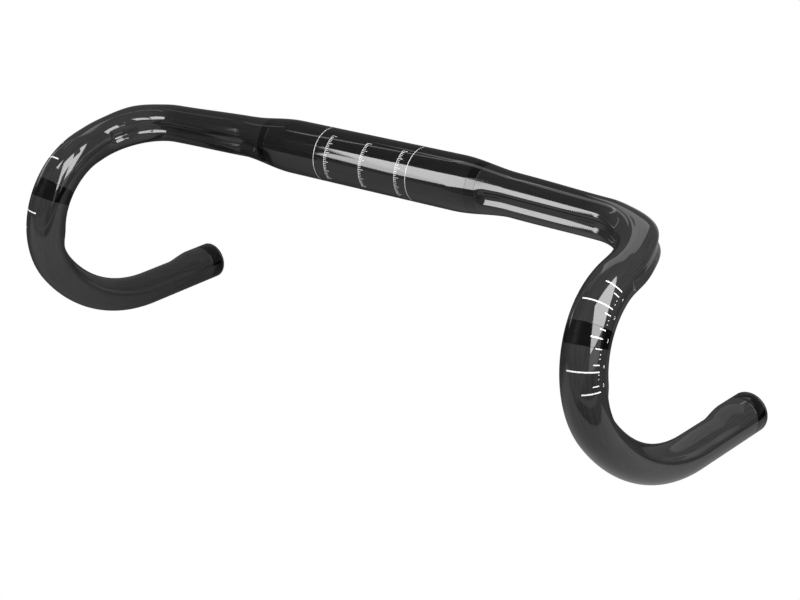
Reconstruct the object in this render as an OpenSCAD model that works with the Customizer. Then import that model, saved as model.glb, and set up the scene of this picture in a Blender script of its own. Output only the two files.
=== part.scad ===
// Drop handlebar: five bonded tube sections with wrap bands over their joints,
// and an end socket with an expanding plug in each end of the tube.
// +X runs along the bar, -Y is forwards, +Z is up.
// The origin is the centre of the stem clamp section.

/* [Overall shape] */
// Width between the tube centres at the lever seats
hood_width = 388; // [340:1:460]
// Forward sweep of the tops past the clamp joints, in degrees
top_sweep = 3.4; // [0:0.1:5]
// Radius of the bend between a top and its ramp
bend_radius = 39; // [34:1:58]
// Downward slope of the ramps and of the bend plane, in degrees
ramp_slope = 14.5; // [4:0.5:22]
// Straight tube between a bend and its hook
ramp_length = 6; // [1:0.5:20]
// Radius of the upper hook
hook_radius = 46.5; // [40:0.5:60]
// Turn of the upper hook, in degrees
hook_turn = 114; // [104:1:126]
// Radius of the lower hook
lower_radius = 103; // [90:1:150]
// Straight tube at the end of each drop
drop_length = 61; // [51:1:100]
// Outward lean of the hooks, in degrees
hook_flare = 6.5; // [0:0.5:12]

/* [Tube] */
// Diameter of the stem clamp section
clamp_d = 31.8; // [25.4:0.1:35]
// Half length of the stem clamp section at full diameter
clamp_half = 60; // [40:1:64]
// Length of the taper on each side of the clamp section
taper_length = 40; // [24:1:44]
// Diameter of the hooks and drops
tube_d = 24; // [22.2:0.1:25.4]
// Extra diameter at the narrow end of the taper
neck_swell = 0.7; // [0.4:0.1:2.4]
// How much slimmer the bends are than the hooks
bend_slim = 1; // [0:0.1:1.4]
// Fullness on the outside of the bends
bend_swell = 2.2; // [0:0.1:3]
// Wall of the hooks and drops
tube_wall = 3.4; // [3.2:0.1:3.8]
// Wall of the stem clamp section
clamp_wall = 3.4; // [2.4:0.1:4.5]

/* [Bonded joints] */
// Distance from the centre to the joint between clamp section and top
joint_x = 77; // [70:1:84]
// Turn of the upper hook before the joint between top and drop, in degrees
hook_joint_turn = 46; // [32:1:56]
// Length of the ferrule inside each joint
ferrule_length = 34; // [24:1:36]
// Wall of the ferrules
ferrule_wall = 2; // [1.2:0.1:3]
// Length of the wrap bands beside the clamp section
neck_band_length = 6; // [4:0.5:9]
// Length of the wrap bands on the hooks
hook_band_length = 9.5; // [6:0.5:14]
// Thickness of the wrap bands
band_thickness = 0.6; // [0.4:0.1:1]
// Adhesive gap round the bonded pieces
bond_gap = 0.1; // [0.05:0.05:0.2]

/* [Channels and recesses] */
// Half width of the cable channels in the tops
channel_half = 5; // [3:0.5:6]
// Depth of the cable channels
channel_depth = 2.4; // [1.2:0.1:2.4]
// Turn of the front channel above the middle of the tops, in degrees
channel_lift = 12; // [0:1:20]
// Turn of the bend that the front channel follows, in degrees
front_channel_turn = 70; // [40:1:84]
// Half width of the pad recess in each drop
recess_half = 16.5; // [12:0.5:18]
// Width of the sloping wall along each side of the pad recess
recess_wall = 3; // [2:0.5:5]
// Length of the slope at each end of the pad recess
recess_ramp = 20; // [12:1:26]
// Depth of the pad recess
recess_depth = 2.4; // [1.4:0.1:2.4]
// Plain tube left between the pad recess and the tube end
recess_margin = 17; // [14:1:30]
// Turn of the upper hook at which the pad recess starts, in degrees
recess_turn = 75; // [70:1:96]

/* [End sockets] */
// Length of the collar that closes each tube end
collar_length = 9; // [6:0.5:14]
// Depth of the socket spigot in the tube
socket_depth = 27; // [25:1:34]
// Wall of the socket spigot
socket_wall = 1.3; // [1:0.1:1.6]

/* [End plugs] */
// Thickness of the plug flange
flange_thickness = 2; // [1.4:0.1:3]
// Depth of the plug spigot in its socket
spigot_length = 8; // [6:0.5:10]
// Thickness of the plug washer
washer_thickness = 1; // [0.8:0.1:1.5]
// Length of the rubber sleeve
sleeve_length = 14; // [11:0.5:18]
// Length of the cone nut
wedge_length = 9; // [7:0.5:11]
// Depth of the cone nut in the sleeve when tightened
wedge_grip = 4; // [3:0.5:5]
// Thread diameter of the plug screw
screw_d = 5; // [4:0.5:6]
// Head diameter of the plug screw
head_d = 8.5; // [8:0.1:10]
// Head height of the plug screw
head_height = 3.5; // [3:0.1:4]
// Hexagon key size of the plug screw
key_size = 3; // [2.5:0.5:4]
// Radial clearance of the plug in its socket
plug_gap = 0.2; // [0.1:0.05:0.4]
// Clearance round the screw and on the cone
running_gap = 0.15; // [0.1:0.05:0.3]

/* [Hidden] */
$fn = 72;
over = 1;
taper_steps = 10;
clamp_r = clamp_d / 2;
tube_r = tube_d / 2;
neck_r = tube_r + neck_swell / 2;
bend_r = tube_r - bend_slim / 2;
bore_r = tube_r - tube_wall;
clamp_bore_r = clamp_r - clamp_wall;
// The sweep starts past the ferrules, and the bend makes up the rest of the quarter turn
ferrule_stop = 2;
sweep_start = joint_x + ferrule_length / 2 + ferrule_stop;
bend_turn = 90 - top_sweep;
swept_width = hood_width / 2 - sweep_start - bend_radius * (1 - sin(top_sweep));
top_half = sweep_start + swept_width / cos(top_sweep);
taper_end = clamp_half + taper_length;
lower_turn = 180 - ramp_slope - hook_turn;

// Distances along the tube centre line, measured from the middle of the bar
function arc_length(radius, turn) = radius * turn * PI / 180;
function arc_turn(radius, length) = length / radius * 180 / PI;
bend_end = top_half + arc_length(bend_radius, bend_turn);
bend_middle = (top_half + bend_end) / 2;
bend_swell_reach = (bend_end - top_half) / 3;
ramp_end = bend_end + ramp_length;
hook_joint = ramp_end + arc_length(hook_radius, hook_joint_turn);
hook_end = ramp_end + arc_length(hook_radius, hook_turn);
lower_end = hook_end + arc_length(lower_radius, lower_turn);
tube_end = lower_end + drop_length;
ferrule_turn = arc_turn(hook_radius, ferrule_length);
hook_band_turn = arc_turn(hook_radius, hook_band_length);
hook_bond_turn = arc_turn(hook_radius, bond_gap);

// Outer radius of the bar at distance s along the centre line, before its seats and dents
function ease(t) = t * t * (3 - 2 * t);
function limit(t) = min(1, max(0, t));
function blend(from, to, t) = from + (to - from) * ease(limit(t));
function bar_radius(s) =
    s < taper_end ? blend(clamp_r, neck_r, (s - clamp_half) / taper_length)
    : s < bend_end ? blend(neck_r, bend_r, (s - taper_end) / (top_half - taper_end))
    : blend(bend_r, tube_r, (s - bend_end) / (hook_joint - hook_band_length - bend_end));

// Outline points of the bar between two distances from its centre
function outline(x_from, x_to) =
    [for (i = [0 : taper_steps])
        let (x = x_from + (x_to - x_from) * i / taper_steps)
        [bar_radius(x), x]];
function mirrored(points) =
    [for (i = [len(points) - 1 : -1 : 0]) [points[i][0], -points[i][1]]];

// Band seats
neck_band_in = joint_x - neck_band_length / 2;
neck_band_out = joint_x + neck_band_length / 2;
neck_seat_r = bar_radius(neck_band_out) - band_thickness;
tube_seat_r = tube_r - band_thickness;
hook_band_in = hook_joint - hook_band_length / 2;
hook_band_out = hook_joint + hook_band_length / 2;

// Bore of the clamp section narrows to carry the ferrules
ferrule_r = bore_r - bond_gap;
ferrule_bore_r = ferrule_r - ferrule_wall;
bore_step = joint_x - ferrule_length / 2 - ferrule_stop;
bore_step_length = clamp_bore_r - bore_r;

// Channels start beside the neck band, recesses on the upper hook
channel_margin = 0.5;
channel_start = neck_band_out + channel_half + channel_margin;
channel_floor = 1.5;
channel_wall = channel_half - channel_floor;
front_channel_end = top_half + arc_length(bend_radius, front_channel_turn);
recess_start = ramp_end + arc_length(hook_radius, recess_turn);
recess_end = tube_end - recess_margin;

// The collar of the end socket carries on the drop where its swept wall stops
wall_end = tube_end - collar_length;
socket_bore_r = ferrule_r - socket_wall;

// Plug pieces along the drop axis, measured inwards from the tube end
seat_gap = 0.1;
plug_r = socket_bore_r - plug_gap;
screw_r = screw_d / 2;
head_r = head_d / 2;
head_clear = 0.3;
head_seat = head_height - flange_thickness + head_clear;
washer_start = spigot_length;
sleeve_start = washer_start + washer_thickness;
sleeve_end = sleeve_start + sleeve_length;
wedge_start = sleeve_end - wedge_grip;
wedge_end = wedge_start + wedge_length;
wedge_tip_wall = 1.6;
wedge_tip_r = screw_r + wedge_tip_wall;
wedge_base_gap = 0.6;
wedge_base_r = plug_r - wedge_base_gap;
screw_reach = 4;
screw_tip = wedge_end + screw_reach;
sleeve_bore_gap = 0.6;
sleeve_bore_r = screw_r + sleeve_bore_gap;
washer_gap = 1;
rim_r = min(0.8, flange_thickness / 2);
screw_chamfer = 0.5;
head_chamfer = 0.4;
key_depth = 2.1;

// Rings of the swept sections: a ring every few millimetres, closer angles at the dents
ring_step = 4.2;
bore_ring_step = 9;
seat_ring_step = 2;
seat_edge = 0.02;
function both_sides(half) = concat(half, [for (i = [len(half) - 2 : -1 : 1]) 360 - half[i]]);
// The close angles at the front follow the lift of the front channel
function lifted(a) = a - channel_lift * (1 + cos(a)) / 2;
top_angles = [for (a = both_sides([0, 7, 14, 20, 26, 40, 60, 80, 100, 120, 140, 154, 160, 166, 173, 180]))
    lifted(a)];
drop_angles = both_sides([0, 20, 40, 56, 62, 68, 74, 80, 100, 120, 140, 160, 180]);
// The flats of a swept bore stay outside its true radius
widest_step = 20;
swept_bore_r = bore_r / cos(widest_step / 2);
// Between its ferrules the bore of a top is narrower, which leaves a wall under the channels
top_bore_r = swept_bore_r - 0.8;
top_bore_end = hook_joint - ferrule_length / 2 - ferrule_stop;
function top_bore(s) = s <= sweep_start || s >= top_bore_end ? swept_bore_r : top_bore_r;

// Frames along the +X half: +Y follows the tube, -X is the inside of the bend or hook
function shift(v) = [[1, 0, 0, v[0]], [0, 1, 0, v[1]], [0, 0, 1, v[2]], [0, 0, 0, 1]];
function turn_x(a) = [[1, 0, 0, 0], [0, cos(a), -sin(a), 0], [0, sin(a), cos(a), 0], [0, 0, 0, 1]];
function turn_y(a) = [[cos(a), 0, sin(a), 0], [0, 1, 0, 0], [-sin(a), 0, cos(a), 0], [0, 0, 0, 1]];
function turn_z(a) = [[cos(a), -sin(a), 0, 0], [sin(a), cos(a), 0, 0], [0, 0, 1, 0], [0, 0, 0, 1]];
function past_arc(radius, turn) = shift([-radius, 0, 0]) * turn_z(turn) * shift([radius, 0, 0]);
hook_lean = 90 + hook_flare;
top_frame = turn_x(ramp_slope) * turn_z(90) * turn_x(180);
sweep_frame = top_frame * shift([0, sweep_start, 0]) * turn_z(top_sweep);
bend_frame = sweep_frame * shift([0, top_half - sweep_start, 0]);
ramp_frame = bend_frame * past_arc(bend_radius, bend_turn);
hook_frame = ramp_frame * shift([0, ramp_length, 0]) * turn_y(hook_lean);
lower_frame = hook_frame * past_arc(hook_radius, hook_turn);
drop_frame = lower_frame * past_arc(lower_radius, lower_turn);
// Plug frame: origin on the tube end, +Z points out of the tube
end_frame = drop_frame * shift([0, drop_length, 0]) * turn_x(-90);

function frame_at(s) =
    s < sweep_start ? top_frame * shift([0, s, 0])
    : s < top_half ? sweep_frame * shift([0, s - sweep_start, 0])
    : s < bend_end ? bend_frame * past_arc(bend_radius, arc_turn(bend_radius, s - top_half))
    : s < ramp_end ? ramp_frame * shift([0, s - bend_end, 0])
    : s < hook_end ? hook_frame * past_arc(hook_radius, arc_turn(hook_radius, s - ramp_end))
    : s < lower_end ? lower_frame * past_arc(lower_radius, arc_turn(lower_radius, s - hook_end))
    : drop_frame * shift([0, s - lower_end, 0]);

// Point of a ring at distance s, at angle a from the inside of the bend
function ring_point(s, a, r) =
    let (p = frame_at(s) * [-r * cos(a), 0, r * sin(a), 1]) [p[0], p[1], p[2]];

// Depth of a cable channel with round ends that runs to a given distance
function channel(s, across, to) =
    let (past = max(0, channel_start - s, s - to), away = sqrt(across * across + past * past))
    channel_depth * ease(limit((channel_half - away) / channel_wall));
// Depth of the pad recess: steep sides, long slopes at both ends
function recess(s, across) =
    recess_depth * ease(limit((recess_half - abs(across)) / recess_wall))
        * ease(limit((s - recess_start) / recess_ramp)) * ease(limit((recess_end - s) / recess_ramp));
// Fullness on the outside of the bend
function swell(s, a) =
    bend_swell * ease(limit(1 - abs(s - bend_middle) / bend_swell_reach)) * max(0, -cos(a));
function side_angle(a, centre) = let (d = a - centre) d - 360 * round(d / 360);

function top_outer(s, a) =
    s < neck_band_out ? neck_seat_r
    : s > hook_band_in ? tube_seat_r
    : let (r = bar_radius(s),
           front = arc_length(r, side_angle(a, -channel_lift)),
           rear = arc_length(r, side_angle(a, 180)))
      r + swell(s, a) - channel(s, front, front_channel_end) - channel(s, rear, ramp_end);

function drop_outer(s, a) =
    s < hook_band_out ? tube_seat_r
    : tube_r - recess(s, arc_length(tube_r, side_angle(a, 0)));

// Distances of rings: even steps plus a pair of rings at each sharp edge
function spaced(from, to, step) =
    let (count = ceil((to - from) / step)) [for (i = [0 : count]) from + (to - from) * i / count];
function edge_pair(s) = [s - seat_edge, s + seat_edge];

module left() {
    mirror([1, 0, 0]) children();
}

// Hollow sweep between an outer and an inner stack of rings
module swept_wall(outer_rings, inner_rings) {
    sides = len(outer_rings[0]);
    n = len(outer_rings);
    m = len(inner_rings);
    points = [for (ring = concat(outer_rings, inner_rings)) each ring];
    first_inner = n * sides;
    last_outer = (n - 1) * sides;
    last_inner = first_inner + (m - 1) * sides;
    skin = [for (k = [0 : n - 2], i = [0 : sides - 1])
        let (a = k * sides + i, b = k * sides + (i + 1) % sides)
        each [[b, a, a + sides], [b, a + sides, b + sides]]];
    bore = [for (k = [0 : m - 2], i = [0 : sides - 1])
        let (a = first_inner + k * sides + i, b = first_inner + k * sides + (i + 1) % sides)
        each [[a, b, a + sides], [b, b + sides, a + sides]]];
    ends = [for (i = [0 : sides - 1])
        let (j = (i + 1) % sides)
        each [[i, j, first_inner + i], [j, first_inner + j, first_inner + i],
            [last_outer + j, last_outer + i, last_inner + i],
            [last_outer + j, last_inner + i, last_inner + j]]];
    polyhedron(points, concat(skin, bore, ends));
}

// Round bar along an arc that starts at the local origin
module arc_bar(radius, r, from, to) {
    translate([-radius, 0, 0]) rotate([0, 0, from])
        rotate_extrude(angle = to - from) translate([radius, 0]) circle(r);
}
module turned(points) {
    rotate([-90, 0, 0]) rotate_extrude() polygon(points);
}
module ring(r_out, r_in, from, to) {
    translate([0, 0, from]) difference() {
        cylinder(r = r_out, h = to - from);
        translate([0, 0, -over]) cylinder(r = r_in, h = to - from + 2 * over);
    }
}

module clamp_section() {
    outer = concat(mirrored(outline(clamp_half, joint_x)), outline(clamp_half, joint_x));
    bore = [[bore_r, joint_x], [bore_r, bore_step], [clamp_bore_r, bore_step - bore_step_length]];
    rotate([0, 0, -90]) color("#1c1d1f") difference() {
        turned(concat(outer, bore, mirrored(bore)));
        for (side = [0, 180]) rotate([0, 0, side]) rotate([-90, 0, 0])
            ring(clamp_d, neck_seat_r, neck_band_in, joint_x + over);
    }
}

module top_section() {
    // Past the ramp the frame leans over, so the ring angles turn back by the same lean
    function lean(s) = s < ramp_end ? 0 : hook_lean;
    stations = concat([joint_x + bond_gap], edge_pair(neck_band_out),
        spaced(neck_band_out + 1, hook_band_in - 1, ring_step), edge_pair(hook_band_in),
        spaced(hook_band_in + seat_ring_step, hook_joint, seat_ring_step));
    outer = [for (s = stations) [for (a = top_angles) ring_point(s, a - lean(s), top_outer(s, a))]];
    bore_stations = concat(spaced(joint_x + bond_gap, sweep_start, bore_ring_step),
        spaced(sweep_start + 1, top_bore_end - 1, bore_ring_step),
        spaced(top_bore_end, hook_joint, ring_step));
    inner = [for (s = bore_stations)
        [for (a = top_angles) ring_point(s, a - lean(s), top_bore(s))]];
    color("#202124") swept_wall(outer, inner);
}

module drop_section() {
    stations = concat(spaced(hook_joint + bond_gap, hook_band_out - seat_ring_step, seat_ring_step),
        edge_pair(hook_band_out),
        spaced(hook_band_out + 1, wall_end, ring_step));
    outer = [for (s = stations) [for (a = drop_angles) ring_point(s, a, drop_outer(s, a))]];
    bore_stations = concat(spaced(hook_joint + bond_gap, hook_joint + ferrule_length / 2, ring_step),
        spaced(hook_joint + ferrule_length / 2 + 1, wall_end, bore_ring_step));
    inner = [for (s = bore_stations)
        [for (a = drop_angles) ring_point(s, a, swept_bore_r)]];
    color("#2a2b2d") swept_wall(outer, inner);
}

module neck_ferrule() {
    color("#6b6e72") multmatrix(top_frame) rotate([-90, 0, 0]) ring(ferrule_r, ferrule_bore_r,
        joint_x - ferrule_length / 2, joint_x + ferrule_length / 2);
}

module hook_ferrule() {
    from = hook_joint_turn - ferrule_turn / 2;
    to = hook_joint_turn + ferrule_turn / 2;
    color("#6b6e72") multmatrix(hook_frame) difference() {
        arc_bar(hook_radius, ferrule_r, from, to);
        arc_bar(hook_radius, ferrule_bore_r, from - over, to + over);
    }
}

module neck_band() {
    edge_in = neck_band_in + bond_gap;
    edge_out = neck_band_out - bond_gap;
    seat = neck_seat_r + bond_gap;
    color("#0b0b0c") multmatrix(top_frame)
        turned(concat(outline(edge_in, edge_out), [[seat, edge_out], [seat, edge_in]]));
}

module hook_band() {
    from = hook_joint_turn - hook_band_turn / 2 + hook_bond_turn;
    to = hook_joint_turn + hook_band_turn / 2 - hook_bond_turn;
    color("#0b0b0c") multmatrix(hook_frame) difference() {
        arc_bar(hook_radius, tube_r, from, to);
        arc_bar(hook_radius, tube_seat_r + bond_gap, from - over, to + over);
    }
}

module end_socket() {
    color("#0b0b0c") multmatrix(end_frame) rotate_extrude() polygon([
        [socket_bore_r, 0], [tube_r, 0], [tube_r, bond_gap - collar_length],
        [ferrule_r, bond_gap - collar_length], [ferrule_r, -collar_length - socket_depth],
        [socket_bore_r, -collar_length - socket_depth]]);
}

module plug_cap() {
    flange_r = tube_r;
    top = seat_gap + flange_thickness;
    hole_r = screw_r + running_gap;
    seat_r = head_r + running_gap;
    corner = [for (a = [0 : 15 : 90])
        [flange_r - rim_r + rim_r * cos(a), top - rim_r + rim_r * sin(a)]];
    color("#111213") multmatrix(end_frame) rotate_extrude() polygon(concat(
        [[hole_r, -spigot_length], [plug_r, -spigot_length], [plug_r, seat_gap], [flange_r, seat_gap]],
        corner,
        [[seat_r, top], [seat_r, -head_seat], [hole_r, -head_seat]]));
}

module plug_washer() {
    color("#b9bcc0") multmatrix(end_frame)
        ring(plug_r - washer_gap, screw_r + running_gap, -sleeve_start, -washer_start);
}

module plug_sleeve() {
    cone_r = wedge_tip_r + (wedge_base_r - wedge_tip_r) * wedge_grip / wedge_length;
    color("#18191a") multmatrix(end_frame) rotate_extrude() polygon([
        [sleeve_bore_r, -sleeve_start], [plug_r, -sleeve_start], [plug_r, -sleeve_end],
        [cone_r + running_gap, -sleeve_end], [wedge_tip_r + running_gap, -wedge_start + running_gap],
        [sleeve_bore_r, -wedge_start + running_gap]]);
}

module plug_wedge() {
    color("#c3c6ca") multmatrix(end_frame) rotate_extrude() polygon([
        [screw_r + running_gap, -wedge_start], [wedge_tip_r, -wedge_start],
        [wedge_base_r, -wedge_end], [screw_r + running_gap, -wedge_end]]);
}

module plug_screw() {
    head_top = head_height - head_seat;
    color("#8d9094") multmatrix(end_frame) difference() {
        rotate_extrude() polygon([[0, -screw_tip], [screw_r - screw_chamfer, -screw_tip],
            [screw_r, screw_chamfer - screw_tip], [screw_r, -head_seat], [head_r, -head_seat],
            [head_r, head_top - head_chamfer], [head_r - head_chamfer, head_top], [0, head_top]]);
        translate([0, 0, head_top - key_depth])
            cylinder(d = key_size / cos(30), h = key_depth + over, $fn = 6);
    }
}

clamp_section();
top_section();  // right_top_section
drop_section();  // right_drop_section
neck_ferrule();  // right_neck_ferrule
hook_ferrule();  // right_hook_ferrule
neck_band();  // right_neck_band
hook_band();  // right_hook_band
end_socket();  // right_end_socket
plug_cap();  // right_plug_cap
plug_washer();  // right_plug_washer
plug_sleeve();  // right_plug_sleeve
plug_wedge();  // right_plug_wedge
plug_screw();  // right_plug_screw
left() top_section();  // left_top_section
left() drop_section();  // left_drop_section
left() neck_ferrule();  // left_neck_ferrule
left() hook_ferrule();  // left_hook_ferrule
left() neck_band();  // left_neck_band
left() hook_band();  // left_hook_band
left() end_socket();  // left_end_socket
left() plug_cap();  // left_plug_cap
left() plug_washer();  // left_plug_washer
left() plug_sleeve();  // left_plug_sleeve
left() plug_wedge();  // left_plug_wedge
left() plug_screw();  // left_plug_screw
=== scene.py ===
from math import atan2, ceil, cos, hypot, pi, radians, sin

import bmesh
import bpy
from mathutils import Matrix, Quaternion, Vector


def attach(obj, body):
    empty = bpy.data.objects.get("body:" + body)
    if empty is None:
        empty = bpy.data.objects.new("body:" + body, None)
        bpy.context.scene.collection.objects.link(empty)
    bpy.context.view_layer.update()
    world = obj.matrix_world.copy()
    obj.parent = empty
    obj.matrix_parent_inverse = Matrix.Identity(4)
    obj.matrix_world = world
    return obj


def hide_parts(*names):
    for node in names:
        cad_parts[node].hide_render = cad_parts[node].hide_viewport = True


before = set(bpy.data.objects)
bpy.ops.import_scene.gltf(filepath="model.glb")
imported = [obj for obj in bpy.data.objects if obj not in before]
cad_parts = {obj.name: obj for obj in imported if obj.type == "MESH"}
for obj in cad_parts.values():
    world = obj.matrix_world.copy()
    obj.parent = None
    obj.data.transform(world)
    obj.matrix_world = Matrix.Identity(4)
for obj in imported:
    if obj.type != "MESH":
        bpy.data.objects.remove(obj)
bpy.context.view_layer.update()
scene = bpy.context.scene
MM = 0.001
SIDES = (("right", 1), ("left", -1))

# Centre line of the right half, measured from the middle of the bar, in metres and degrees
HOOD_WIDTH = 388 * MM
TOP_SWEEP = 3.4
SWEEP_START = 96 * MM
BEND_RADIUS = 39 * MM
RAMP_SLOPE = 14.5
RAMP_LENGTH = 6 * MM
HOOK_RADIUS = 46.5 * MM
HOOK_TURN = 114
LOWER_RADIUS = 103 * MM
DROP_LENGTH = 61 * MM
HOOK_FLARE = 6.5
HOOK_JOINT_TURN = 46
HOOK_LEAN = 90 + HOOK_FLARE
LOWER_TURN = 180 - RAMP_SLOPE - HOOK_TURN
BEND_TURN = 90 - TOP_SWEEP
SWEPT_WIDTH = HOOD_WIDTH / 2 - SWEEP_START - BEND_RADIUS * (1 - sin(radians(TOP_SWEEP)))
TOP_HALF = SWEEP_START + SWEPT_WIDTH / cos(radians(TOP_SWEEP))
BEND_END = TOP_HALF + BEND_RADIUS * radians(BEND_TURN)
RAMP_END = BEND_END + RAMP_LENGTH
HOOK_JOINT = RAMP_END + HOOK_RADIUS * radians(HOOK_JOINT_TURN)
HOOK_END = RAMP_END + HOOK_RADIUS * radians(HOOK_TURN)
LOWER_END = HOOK_END + LOWER_RADIUS * radians(LOWER_TURN)
TUBE_END = LOWER_END + DROP_LENGTH

# Tube and its joints
CLAMP_R = 15.9 * MM
CLAMP_HALF = 60 * MM
TAPER_END = 100 * MM
NECK_R = 12.35 * MM
BEND_R = 11.5 * MM
BEND_SWELL = 2.2 * MM
BEND_MIDDLE = (TOP_HALF + BEND_END) / 2
BEND_SWELL_REACH = (BEND_END - TOP_HALF) / 3
TUBE_R = 12 * MM
BORE_R = 8.6 * MM
CLAMP_BORE_R = 12.5 * MM
BORE_STEP = 58 * MM
NECK_JOINT = 77 * MM
NECK_BAND_HALF = 3 * MM
HOOK_BAND_HALF = 4.75 * MM
BAND_THICKNESS = 0.6 * MM
BOND_GAP = 0.05 * MM
COLLAR_LENGTH = 9 * MM
WALL_END = TUBE_END - COLLAR_LENGTH

# Cable channels on the tops and pad recess on the drop
CHANNEL_HALF = 5 * MM
CHANNEL_WALL = 3.5 * MM
CHANNEL_DEPTH = 2.4 * MM
CHANNEL_START = 80.5 * MM
CHANNEL_LIFT = radians(12)
FRONT_CHANNEL_TURN = 70
FRONT_CHANNEL_END = TOP_HALF + BEND_RADIUS * radians(FRONT_CHANNEL_TURN)
RECESS_HALF = 16.5 * MM
RECESS_WALL = 3 * MM
RECESS_DEPTH = 2.4 * MM
RECESS_RAMP = 20 * MM
RECESS_TURN = 75
RECESS_MARGIN = 17 * MM
RECESS_START = RAMP_END + HOOK_RADIUS * radians(RECESS_TURN)
RECESS_END = TUBE_END - RECESS_MARGIN

# Fineness of the meshes
RING_SIDES = 144
RING_STEP = 1.2 * MM
BORE_RING_STEP = 8 * MM
BAND_RING_STEP = 0.8 * MM
BAND_SEAT_STEP = 2 * MM
BAND_ROUNDING = 0.06 * MM
SPACING_SLACK = 0.001
SCREW_SIDES = 48
MERGE_DISTANCE = 0.001 * MM
ROUNDED_ANGLE = 0.5
SHARP_ANGLE = 1.0


def shift(x, y, z):
    return Matrix.Translation((x, y, z))


def turn(axis, degrees):
    return Matrix.Rotation(radians(degrees), 4, axis)


def past_arc(radius, degrees):
    return shift(-radius, 0, 0) @ turn("Z", degrees) @ shift(radius, 0, 0)


TOP_FRAME = turn("X", RAMP_SLOPE) @ turn("Z", 90) @ turn("X", 180)
SWEEP_FRAME = TOP_FRAME @ shift(0, SWEEP_START, 0) @ turn("Z", TOP_SWEEP)
BEND_FRAME = SWEEP_FRAME @ shift(0, TOP_HALF - SWEEP_START, 0)
RAMP_FRAME = BEND_FRAME @ past_arc(BEND_RADIUS, BEND_TURN)
HOOK_FRAME = RAMP_FRAME @ shift(0, RAMP_LENGTH, 0) @ turn("Y", HOOK_LEAN)
LOWER_FRAME = HOOK_FRAME @ past_arc(HOOK_RADIUS, HOOK_TURN)
DROP_FRAME = LOWER_FRAME @ past_arc(LOWER_RADIUS, LOWER_TURN)
# Origin on the tube end, +Z points out of the tube
END_FRAME = DROP_FRAME @ shift(0, DROP_LENGTH, 0) @ turn("X", -90)


def bar_frame(s):
    """Frame on the centre line: +Y runs along the tube, -X is the inside of the bend or hook."""
    if s < SWEEP_START:
        return TOP_FRAME @ shift(0, s, 0)
    if s < TOP_HALF:
        return SWEEP_FRAME @ shift(0, s - SWEEP_START, 0)
    if s < BEND_END:
        return BEND_FRAME @ past_arc(BEND_RADIUS, (s - TOP_HALF) / BEND_RADIUS * 180 / pi)
    if s < RAMP_END:
        return RAMP_FRAME @ shift(0, s - BEND_END, 0)
    if s < HOOK_END:
        return HOOK_FRAME @ past_arc(HOOK_RADIUS, (s - RAMP_END) / HOOK_RADIUS * 180 / pi)
    if s < LOWER_END:
        return LOWER_FRAME @ past_arc(LOWER_RADIUS, (s - HOOK_END) / LOWER_RADIUS * 180 / pi)
    return DROP_FRAME @ shift(0, s - LOWER_END, 0)


def ease(t):
    t = min(1, max(0, t))
    return t * t * (3 - 2 * t)


def between(start, end, t):
    return start + (end - start) * ease(t)


def bar_radius(s):
    """Outer radius of the bar before its band seats and dents."""
    s = abs(s)
    if s < TAPER_END:
        return between(CLAMP_R, NECK_R, (s - CLAMP_HALF) / (TAPER_END - CLAMP_HALF))
    if s < BEND_END:
        return between(NECK_R, BEND_R, (s - TAPER_END) / (TOP_HALF - TAPER_END))
    return between(BEND_R, TUBE_R, (s - BEND_END) / (HOOK_JOINT - 2 * HOOK_BAND_HALF - BEND_END))


def side_angle(angle, centre):
    return (angle - centre + pi) % (2 * pi) - pi


def channel(s, across, end):
    """Depth of a cable channel with round ends, at a distance along the bar and across the channel."""
    past = max(0, CHANNEL_START + CHANNEL_HALF - s, s - end)
    return CHANNEL_DEPTH * ease((CHANNEL_HALF - hypot(across, past)) / CHANNEL_WALL)


def recess(s, across):
    """Depth of the pad recess: steep sides, long slopes at both ends."""
    ends = ease((s - RECESS_START) / RECESS_RAMP) * ease((RECESS_END - s) / RECESS_RAMP)
    return RECESS_DEPTH * ends * ease((RECESS_HALF - abs(across)) / RECESS_WALL)


def top_skin(s, angle):
    radius = bar_radius(s)
    front = radius * side_angle(angle, -CHANNEL_LIFT)
    rear = radius * side_angle(angle, pi)
    swell = BEND_SWELL * ease(1 - abs(s - BEND_MIDDLE) / BEND_SWELL_REACH) * max(0, -cos(angle))
    return radius + swell - channel(s, front, FRONT_CHANNEL_END) - channel(s, rear, RAMP_END)


def drop_skin(s, angle):
    return TUBE_R - recess(s, TUBE_R * side_angle(angle, 0))


def spaced(start, end, step):
    count = ceil((end - start) / step - SPACING_SLACK)
    return [start + (end - start) * i / count for i in range(count + 1)]


def edges_of(verts):
    return list(dict.fromkeys(edge for vert in verts for edge in vert.link_edges))


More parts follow.
